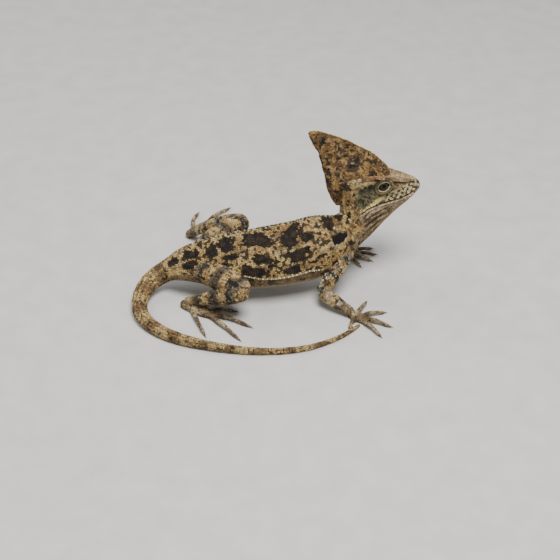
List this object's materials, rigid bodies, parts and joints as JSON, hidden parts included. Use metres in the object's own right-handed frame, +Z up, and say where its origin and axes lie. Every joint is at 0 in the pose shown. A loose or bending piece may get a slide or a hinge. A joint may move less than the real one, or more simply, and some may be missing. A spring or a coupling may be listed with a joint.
{
  "type": "smooth helmeted lizard model",
  "caption": "Life-size still model of a smooth helmeted lizard, head raised under a tall thin casque, legs spread, tail curled round one side.",
  "frame": {"origin": "centre of the bounding box's footprint, on the floor that the feet and tail rest on", "axes": "+X along the trunk towards the head, +Y to the animal's left, +Z up"},
  "size_m": [0.1289, 0.1141, 0.0734],
  "materials": {
    "skin": "matt scaled hide, tan and ochre with near-black blotches and fine dark specks",
    "casque": "thin horny blade under small scales, warm brown with dark specks and a pale rim",
    "eye": "wet and clear over a dark iris with a thin golden ring",
    "claw": "dark horn, polished by use"
  },
  "bodies": {
    "root": {"head": "skin", "casque": "casque", "neck": "skin", "torso": "skin", "tail_1": "skin", "tail_2": "skin", "tail_3": "skin", "tail_4": "skin", "tail_5": "skin", "tail_6": "skin", "eye_left": "eye", "upper_arm_left": "skin", "forearm_left": "skin", "hand_left": "skin", "thigh_left": "skin", "shank_left": "skin", "foot_left": "skin", "eye_right": "eye", "upper_arm_right": "skin", "forearm_right": "skin", "hand_right": "skin", "thigh_right": "skin", "shank_right": "skin", "foot_right": "skin"}
  },
  "joints": []
}
